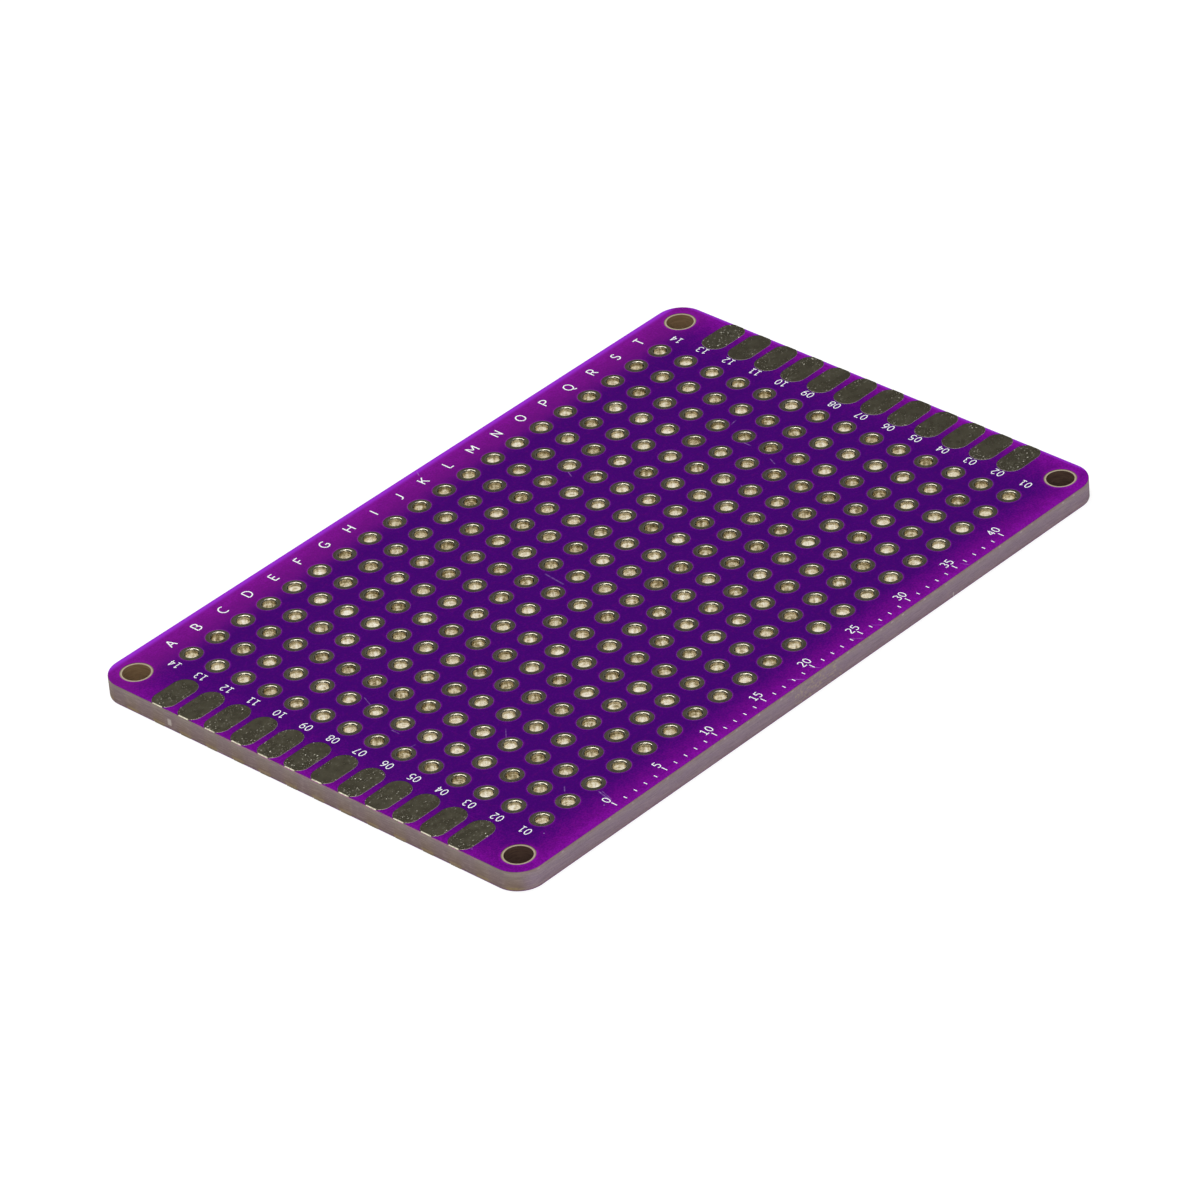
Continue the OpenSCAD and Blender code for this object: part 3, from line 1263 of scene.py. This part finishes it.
@dataclass
class TinnedHoles:
    """The plated holes, each turned from one section, in a few uneven variants."""

    layout: Layout
    hole_r: float = 0.5 * MM
    drill_r: float = 0.53 * MM
    lip_from_r: float = 0.63 * MM
    lip_to_r: float = 0.52 * MM
    lip_drop: float = 0.075 * MM
    lip_steps: tuple[int, ...] = (70, 52, 34, 14)
    step_z: tuple[float, float] = (0.1 * MM, 0.12 * MM)
    metal_t: float = 0.05 * MM
    edge_r: float = 0.01 * MM
    sides: int = 24
    variants: int = 10
    drift: tuple[float, float] = (0.03 * MM, 0.01 * MM)
    unevenness: float = 0.006 * MM
    choice_seed: int = 11
    sharp_from: float = 36

    def section(self) -> list[Point]:
        """Returns the ring's section as radius and height, from the inside of one pad round to the other."""
        pad_r, top = self.layout.pad_r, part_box("plated_holes_a")[1].z
        section = [
            (self.drill_r, top - self.metal_t),
            (pad_r, top - self.metal_t),
            (pad_r, top - self.edge_r),
            (pad_r - self.edge_r, top),
            (self.lip_from_r, top),
        ]
        for degrees in self.lip_steps:
            turn = math.radians(degrees)
            radius = self.lip_from_r - (self.lip_from_r - self.lip_to_r) * math.cos(turn)
            section.append((radius, top - self.lip_drop * (1 - math.sin(turn))))
        section += [
            (self.lip_to_r, top - self.step_z[0]),
            (self.hole_r, top - self.step_z[1]),
            (self.hole_r, self.lip_drop),
            (self.hole_r + self.edge_r, self.metal_t / 2),
            (self.drill_r + self.metal_t, 0.0),
            (pad_r - self.edge_r, 0.0),
            (pad_r, self.edge_r),
            (pad_r, self.metal_t),
            (self.drill_r, self.metal_t),
        ]
        return section

    def variant(self, number: int) -> Workpiece:
        """Models one hole at the origin.

        Args:
            number: the variant's number, which seeds its unevenness.

        Returns:
            The hole.
        """
        section = self.section()
        radius, height = section[0]
        ring = Workpiece.disc(radius, Vector((0, 0, height)), self.sides, False)
        ring.edit()
        bpy.ops.mesh.select_all(action="SELECT")
        for new_radius, new_height in section[1:]:
            grow = new_radius / radius
            bpy.ops.mesh.extrude_edges_move(TRANSFORM_OT_translate={"value": (0, 0, new_height - height)})
            bpy.ops.transform.resize(value=(grow, grow, 1), center_override=(0, 0, 0))
            radius, height = new_radius, new_height
        first, last = section[0][1], section[-1][1]
        ring.pick(Part.VERTS, lambda vert: self.on_ring(vert.co, first) or self.on_ring(vert.co, last))
        bpy.ops.mesh.bridge_edge_loops()
        ring.pick(Part.VERTS, lambda vert: vert.co.xy.length < self.hole_r + self.edge_r)
        bpy.ops.transform.vertex_random(offset=self.unevenness, seed=number)
        ring.pick(Part.VERTS, lambda vert: vert.co.xy.length < self.lip_from_r + self.edge_r)
        bpy.ops.transform.translate(value=(*self.drift, 0))
        ring.done()
        ring.tidy()
        return ring

    def on_ring(self, place: Vector, height: float) -> bool:
        """Says whether a vertex is on the hidden ring at a height."""
        return abs(place.xy.length - self.drill_r) < NEAR and abs(place.z - height) < NEAR

    def make(self) -> None:
        """Models and dresses every column."""
        patterns = [self.variant(number) for number in range(self.variants)]
        material = HoleFinish(self.layout).make("hole_tin")
        for pattern in patterns:
            pattern.smooth(self.sharp_from)
            pattern.dress(material)
        dice = random.Random(self.choice_seed)
        for letter, x in zip(COLUMN_LETTERS, self.layout.columns):
            holes = []
            for y in self.layout.rows:
                holes.append(dice.choice(patterns).copy(Matrix.Translation((x, y, 0))))
            Workpiece.joined(holes).hand_in(f"tinned_holes_{letter}", "tinned_hole", f"plated_holes_{letter}")
        for pattern in patterns:
            pattern.delete()


@dataclass
class EdgePads:
    """The oval edge pads on both faces, cut off by the board's short ends."""

    layout: Layout
    width: float = 2.0 * MM
    cut: float = 0.1 * MM
    metal_t: float = 0.05 * MM
    rim: float = 0.025 * MM
    end_wear: float = 0.035 * MM
    sides: int = 40
    sharp_from: float = 35

    def one_pad(self) -> Workpiece:
        """Models the upper pad of the right end, at Y = 0.

        Returns:
            The pad.
        """
        low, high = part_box(f"right_edge_pads_{PAD_ROWS[0]}")
        end_r = self.width / 2
        inner = low.x + end_r
        reach = self.layout.high.x + self.cut - end_r - inner
        bottom = high.z - self.metal_t
        pad = Workpiece.disc(end_r, Vector((inner, 0, bottom)), self.sides, True)
        pad.edit()
        pad.pick(Part.VERTS, lambda vert: vert.co.x > inner + NEAR)
        bpy.ops.transform.translate(value=(reach, 0, 0))
        bpy.ops.mesh.select_all(action="SELECT")
        bpy.ops.mesh.extrude_region_move(TRANSFORM_OT_translate={"value": (0, 0, self.metal_t)})
        bpy.ops.mesh.select_all(action="SELECT")
        edge_x = self.layout.high.x
        bpy.ops.mesh.bisect(
            plane_co=(edge_x, 0, 0), plane_no=(1, 0, 0), use_fill=True, clear_outer=True, threshold=MERGE
        )
        bpy.ops.mesh.select_all(action="SELECT")
        bpy.ops.mesh.normals_make_consistent(inside=False)
        pad.pick(Part.EDGES, lambda edge: self.on_rim(edge, high.z, edge_x, True))
        bpy.ops.mesh.bevel(offset=self.end_wear, segments=3, affect="EDGES")
        pad.pick(Part.EDGES, lambda edge: self.on_rim(edge, high.z, edge_x - self.end_wear * 1.5, False))
        bpy.ops.mesh.bevel(offset=self.rim, segments=2, affect="EDGES")
        pad.pick(Part.FACES, lambda face: abs(face.normal.z) > 0.999 and len(face.verts) > 8)
        bpy.ops.mesh.inset(thickness=self.rim, depth=0)
        pad.done()
        pad.tidy()
        return pad

    def on_rim(self, edge: bmesh.types.BMEdge, top: float, edge_x: float, at_end: bool) -> bool:
        """Says whether an edge is on the upper rim, at the routed end or elsewhere."""
        if any(abs(vert.co.z - top) > MERGE for vert in edge.verts) or len(edge.link_faces) != 2:
            return False
        flat = [abs(face.normal.z) > 0.99 for face in edge.link_faces]
        if all(flat) or not any(flat):
            return False
        on_end = all(vert.co.x > edge_x - MERGE for vert in edge.verts)
        return on_end == at_end

    def make(self) -> None:
        """Models and dresses every pair of edge pads."""
        pattern = self.one_pad()
        pattern.smooth(self.sharp_from)
        pattern.dress(PadFinish(self.layout).make("pad_tin"))
        middle_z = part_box(f"right_edge_pads_{PAD_ROWS[0]}")[1].z / 2
        lift = Matrix.Translation((0, 0, middle_z))
        lower = lift @ Matrix.Rotation(math.pi, 4, "X") @ lift.inverted()
        for side in Side:
            turn = Matrix.Rotation(0 if side is Side.RIGHT else math.pi, 4, "Z")
            for label in PAD_ROWS:
                place = Matrix.Translation((0, self.layout.row(label), 0)) @ turn
                pair = Workpiece.joined([pattern.copy(place), pattern.copy(place @ lower)])
                end = side.name.lower()
                pair.hand_in(f"edge_pads_{end}_{label}", "tinned_pad", f"{end}_edge_pads_{label}")
        pattern.delete()


@dataclass(frozen=True)
class Arc:
    """Part of an ellipse that a pen follows, from one angle to another in degrees."""

    x: float
    y: float
    rx: float
    ry: float
    start: float
    end: float

    def points(self) -> list[Point]:
        """Returns the points along the arc."""
        steps = max(3, round(abs(self.end - self.start) / 22))
        angles = [math.radians(self.start + (self.end - self.start) * i / steps) for i in range(steps + 1)]
        return [(self.x + self.rx * math.cos(a), self.y + self.ry * math.sin(a)) for a in angles]


def line(*points: Point) -> list:
    """Returns a straight stroke through points."""
    return list(points)


def bowl(x: float, y: float, rx: float, ry: float) -> list:
    """Returns a stroke out of a stem at x = 0, round a bowl and back to the stem."""
    return [(0, y + ry), (x, y + ry), Arc(x, y, rx, ry, 90, -90), (x, y - ry), (0, y - ry)]


STEM = line((0, 0), (0, 1))
LETTERS = {
    "A": (0.68, [line((0, 0), (0.34, 1)), line((0.34, 1), (0.68, 0)), line((0.12, 0.33), (0.56, 0.33))]),
    "B": (0.56, [STEM, bowl(0.26, 0.765, 0.25, 0.235), bowl(0.28, 0.265, 0.28, 0.265)]),
    "C": (0.6, [[Arc(0.42, 0.5, 0.42, 0.5, 58, 302)]]),
    "D": (0.64, [STEM, bowl(0.2, 0.5, 0.44, 0.5)]),
    "E": (0.46, [STEM, line((0, 1), (0.46, 1)), line((0, 0.52), (0.4, 0.52)), line((0, 0), (0.46, 0))]),
    "F": (0.45, [STEM, line((0, 1), (0.45, 1)), line((0, 0.5), (0.38, 0.5))]),
    "G": (
        0.7,
        [
            [Arc(0.42, 0.5, 0.42, 0.5, 58, 318)],
            line((0.72, 0.13), (0.72, 0.44)),
            line((0.72, 0.44), (0.44, 0.44)),
        ],
    ),
    "H": (0.64, [STEM, line((0.64, 0), (0.64, 1)), line((0, 0.52), (0.64, 0.52))]),
    "I": (0.0, [STEM]),
    "J": (0.34, [[(0.34, 1), (0.34, 0.28), Arc(0.1, 0.26, 0.24, 0.27, 0, -110)]]),
    "K": (0.58, [STEM, line((0.54, 1), (0.02, 0.4)), line((0.2, 0.6), (0.6, 0))]),
    "L": (0.44, [STEM, line((0, 0), (0.44, 0))]),
    "M": (0.8, [STEM, line((0, 1), (0.4, 0.3)), line((0.4, 0.3), (0.8, 1)), line((0.8, 1), (0.8, 0))]),
    "N": (0.62, [STEM, line((0, 1), (0.62, 0)), line((0.62, 0), (0.62, 1))]),
    "O": (0.78, [[Arc(0.39, 0.5, 0.39, 0.5, 0, 360)]]),
    "P": (0.56, [STEM, bowl(0.26, 0.72, 0.3, 0.28)]),
    "Q": (0.78, [[Arc(0.39, 0.5, 0.39, 0.5, 0, 360)], line((0.42, 0.02), (0.52, -0.14), (0.76, -0.2))]),
    "R": (0.58, [STEM, bowl(0.26, 0.73, 0.28, 0.27), line((0.28, 0.46), (0.58, 0))]),
    "S": (0.54, [[Arc(0.28, 0.75, 0.24, 0.25, 35, 250), Arc(0.25, 0.25, 0.27, 0.25, 70, -145)]]),
    "T": (0.62, [line((0, 1), (0.62, 1)), line((0.31, 1), (0.31, 0))]),
}
DIGITS = {
    "0": (0.54, [[Arc(0.27, 0.5, 0.27, 0.5, 0, 360)]]),
    "1": (0.54, [line((0.06, 0.8), (0.3, 1)), line((0.3, 1), (0.3, 0)), line((0.06, 0), (0.54, 0))]),
    "2": (0.54, [[Arc(0.26, 0.73, 0.25, 0.27, 150, -30), (0.02, 0.02)], line((0.02, 0), (0.54, 0))]),
    "3": (0.54, [[Arc(0.24, 0.75, 0.24, 0.25, 140, -75)], [Arc(0.24, 0.26, 0.29, 0.26, 80, -140)]]),
    "4": (0.56, [line((0.42, 0), (0.42, 1)), line((0.42, 1), (0, 0.3)), line((0, 0.3), (0.58, 0.3))]),
    "5": (
        0.54,
        [line((0.08, 1), (0.48, 1)), line((0.08, 1), (0.05, 0.55)), [Arc(0.24, 0.31, 0.28, 0.31, 125, -140)]],
    ),
    "6": (0.54, [[Arc(0.28, 0.3, 0.26, 0.3, 0, 360)], [Arc(0.5, 0.34, 0.48, 0.66, 180, 100)]]),
    "7": (0.54, [line((0, 1), (0.52, 1)), line((0.52, 1), (0.18, 0))]),
    "8": (0.54, [[Arc(0.27, 0.76, 0.21, 0.24, 0, 360)], [Arc(0.27, 0.27, 0.27, 0.27, 0, 360)]]),
    "9": (0.54, [[Arc(0.26, 0.7, 0.26, 0.3, 0, 360)], [Arc(0.04, 0.66, 0.48, 0.66, 0, -80)]]),
}


@dataclass
class Pen:
    """Draws strokes as thin raised ink on the upper film."""

    stroke: float
    paths: list[list[Point]] = field(default_factory=list)
    ink_t: float = 0.014 * MM

    def glyph(self, strokes: list, place: Callable[[float, float], Point]) -> None:
        """Adds one sign.

        Args:
            strokes: its strokes, as points and arcs.
            place: turns a stroke's point into a place on the board.
        """
        for stroke in strokes:
            path: list[Point] = []
            for step in stroke:
                points = step.points() if isinstance(step, Arc) else [step]
                path += [place(*point) for point in points]
            self.paths.append(path)

    def draw(self, name: str, material: bpy.types.Material) -> None:
        """Turns all strokes into one piece of ink.

        Args:
            name: the piece's name.
            material: the ink.
        """
        Workpiece.clear_selection()
        curve = bpy.data.curves.new(name, "CURVE")
        curve.dimensions = "3D"
        curve.bevel_depth = self.stroke / 2
        curve.bevel_resolution = 1
        curve.use_fill_caps = True
        for path in self.paths:
            spline = curve.splines.new("POLY")
            spline.points.add(len(path) - 1)
            for point, (x, y) in zip(spline.points, path):
                point.co = (x, y, 0, 1)
        obj = bpy.data.objects.new(name, curve)
        bpy.context.collection.objects.link(obj)
        ink = Workpiece(obj)
        ink.take()
        bpy.ops.object.convert(target="MESH")
        flatten = Matrix.Diagonal((1, 1, self.ink_t / self.stroke, 1))
        middle_z = CAD_BOUNDS[1][2] - self.ink_t / 2
        ink.obj.data.transform(Matrix.Translation((0, 0, middle_z)) @ flatten)
        ink.dress(material)
        ink.hand_in(name, "legend_ink")


@dataclass
class Legend:
    """The printed letters of the columns, the numbers of the rows and a millimetre scale."""

    layout: Layout
    letter_h: float = 0.81 * MM
    letter_stroke: float = 0.11 * MM
    letter_y: float = 18.14 * MM
    number_h: float = 0.64 * MM
    number_stroke: float = 0.08 * MM
    number_step: float = 0.51 * MM
    number_x: dict = field(default_factory=lambda: {Side.LEFT: -25.77 * MM, Side.RIGHT: 25.96 * MM})
    scale_end: int = 20
    scale_numbered: int = 5
    scale_y: float = -19.5 * MM
    scale_tick: float = 0.3 * MM
    scale_long_tick: float = 0.5 * MM
    scale_number_y: float = -18.86 * MM
    scale_stroke: float = 0.085 * MM

    @staticmethod
    def upright(height: float, start: float, base: float) -> Callable[[float, float], Point]:
        """Places a sign that reads along X.

        Args:
            height: its height.
            start: its left side.
            base: its lower side.

        Returns:
            What turns a stroke's point into a place on the board.
        """
        return lambda u, v: (start + u * height, base + v * height)

    def letters(self, ink: bpy.types.Material) -> None:
        """Prints the letters along the far long edge."""
        pen = Pen(self.letter_stroke)
        for (width, strokes), x in zip(LETTERS.values(), self.layout.columns):
            start = x - width * self.letter_h / 2
            pen.glyph(strokes, self.upright(self.letter_h, start, self.letter_y))
        pen.draw("legend_letters", ink)

    def numbers(self, side: Side, ink: bpy.types.Material) -> None:
        """Prints the numbers at one short end, which read along +Y with their tops towards -X."""
        pen = Pen(self.number_stroke)
        height = self.number_h
        base = self.number_x[side] + height / 2
        for row, y in enumerate(self.layout.rows, start=1):
            for place, digit in enumerate(f"{row:02d}"):
                width, strokes = DIGITS[digit]
                start = y + (place - 0.5) * self.number_step - width * height / 2
                pen.glyph(strokes, lambda u, v, s=start: (base - v * height, s + u * height))
        pen.draw(f"legend_numbers_{side.name.lower()}", ink)

    def scale(self, ink: bpy.types.Material) -> None:
        """Prints a plain millimetre scale along the near long edge."""
        pen = Pen(self.scale_stroke)
        for step in range(-self.scale_end, self.scale_end + 1):
            x = step * MM
            reach = self.scale_tick if step % self.scale_numbered else self.scale_long_tick
            pen.paths.append([(x, self.scale_y), (x, self.scale_y + reach)])
            if step % self.scale_numbered == 0:
                label = str(step + self.scale_end)
                for place, digit in enumerate(label):
                    width, strokes = DIGITS[digit]
                    middle = x + (place - (len(label) - 1) / 2) * self.number_step
                    start = middle - width * self.number_h / 2
                    pen.glyph(strokes, self.upright(self.number_h, start, self.scale_number_y))
        pen.draw("legend_scale", ink)

    def make(self) -> None:
        """Prints the whole legend."""
        ink = InkFinish().make("white_ink")
        self.letters(ink)
        for side in Side:
            self.numbers(side, ink)
        self.scale(ink)


@dataclass(frozen=True)
class Lamp:
    """A rectangular lamp: the brightness it gives to the board, and where it hangs."""

    name: str
    level: float
    towards: tuple[float, float, float]
    away: float
    size: tuple[float, float]
    across: tuple[float, float, float] = (1, -1, 0)

    def make(self) -> None:
        """Hangs the lamp with its first side along `across`, facing the board."""
        light = bpy.data.lights.new(self.name, "AREA")
        light.shape = "RECTANGLE"
        light.size, light.size_y = self.size
        way = Vector(self.towards).normalized()
        light.energy = self.level * math.pi ** 2 * self.away ** 2 / way.z
        lamp = bpy.data.objects.new(self.name, light)
        bpy.context.collection.objects.link(lamp)
        lamp.location = way * self.away
        across = Vector(self.across).normalized()
        along = way.cross(across).normalized()
        across = along.cross(way)
        turn = Matrix((across, along, way)).transposed().to_4x4()
        lamp.matrix_world = Matrix.Translation(lamp.location) @ turn


@dataclass
class Studio:
    """A white ground, soft light from above the near corner, and the camera of the photograph."""

    sky: float = 0.52
    sky_mirrored: float = 0.15
    floor_size: float = 6.0
    floor_drop: float = 0.01 * MM
    lamps: tuple[Lamp, ...] = (
        Lamp("above_left", 0.38, (-0.1, 0.38, 0.94), 0.5, (0.5, 0.16), (0, -1, 0)),
        Lamp("above_right", 0.14, (0.13, 0.0, 0.98), 0.5, (0.36, 0.14), (0.84, -0.54, 0)),
        Lamp("front", 0.12, (-0.6, -0.6, 0.53), 0.8, (0.5, 0.3)),
    )
    camera_at: Vector = field(default_factory=lambda: Vector((-304.142, -307.461, 286.412)) * MM)
    camera_aim: Vector = field(default_factory=lambda: Vector((-2.587, -2.041, 1.621)) * MM)
    camera_roll: float = 5.245
    lens: float = 223.653

    def world(self) -> None:
        """Sets a sky that lights softly and looks white."""
        world = bpy.data.worlds.new("studio")
        bpy.context.scene.world = world
        world.use_nodes = True
        nodes = Nodes(world.node_tree)
        mirrored = nodes.add("MapRange", nodes.rays("Glossy"), 0.0, 1.0, self.sky, self.sky_mirrored)
        seen = nodes.rays("Camera", "Transmission")
        strength = nodes.add("MapRange", seen, 0.0, 1.0, mirrored.outputs[0], 1.0)
        sky = nodes.add("Background", (1, 1, 1, 1), strength.outputs[0])
        nodes.add("OutputWorld", sky.outputs[0])

    def floor(self) -> None:
        """Lays a pale floor that looks white and keeps the board's shadow."""
        Workpiece.clear_selection()
        bpy.ops.mesh.primitive_plane_add(size=self.floor_size, location=(0, 0, -self.floor_drop))
        floor = Workpiece.added().obj
        floor.name = "floor"
        material = bpy.data.materials.new("floor_white")
        material.use_nodes = True
        nodes = Nodes(material.node_tree)
        pale = nodes.add("BsdfDiffuse", (0.8, 0.8, 0.8, 1))
        dim = nodes.add("BsdfDiffuse", (0.3, 0.3, 0.3, 1))
        lift = nodes.add("Emission", (1, 1, 1, 1), 0.8)
        bright = nodes.add("AddShader", dim.outputs[0], lift.outputs[0])
        seen = nodes.rays("Camera", "Glossy", "Transmission")
        choice = nodes.add("MixShader", seen, pale.outputs[0], bright.outputs[0])
        nodes.add("OutputMaterial", choice.outputs[0])
        floor.data.materials.append(material)

    def camera(self) -> None:
        """Puts the camera where the photograph was taken."""
        data = bpy.data.cameras.new("camera")
        data.sensor_width = 36
        data.lens = self.lens
        camera = bpy.data.objects.new("camera", data)
        bpy.context.collection.objects.link(camera)
        camera.location = self.camera_at
        level = (self.camera_aim - self.camera_at).to_track_quat("-Z", "Y")
        roll = Quaternion((0, 0, 1), -math.radians(self.camera_roll))
        camera.rotation_euler = (level @ roll).to_euler()
        bpy.context.scene.camera = camera

    def make(self) -> None:
        """Sets up the whole studio."""
        self.world()
        self.floor()
        for lamp in self.lamps:
            lamp.make()
        self.camera()
        bpy.context.scene.view_settings.view_transform = "Standard"
        LOG.info("studio: %s m lens distance", round(self.camera_at.length, 3))


def main() -> None:
    """Builds the studio and the board, sub-assembly by sub-assembly."""
    logging.basicConfig(level=logging.INFO, format="%(message)s", stream=sys.stdout)
    layout = Layout.read()
    Studio().make()
    Laminate(layout).make()
    MaskFilms(layout).make()
    TinnedHoles(layout).make()
    EdgePads(layout).make()
    Legend(layout).make()


if __name__ == "__main__":
    main()
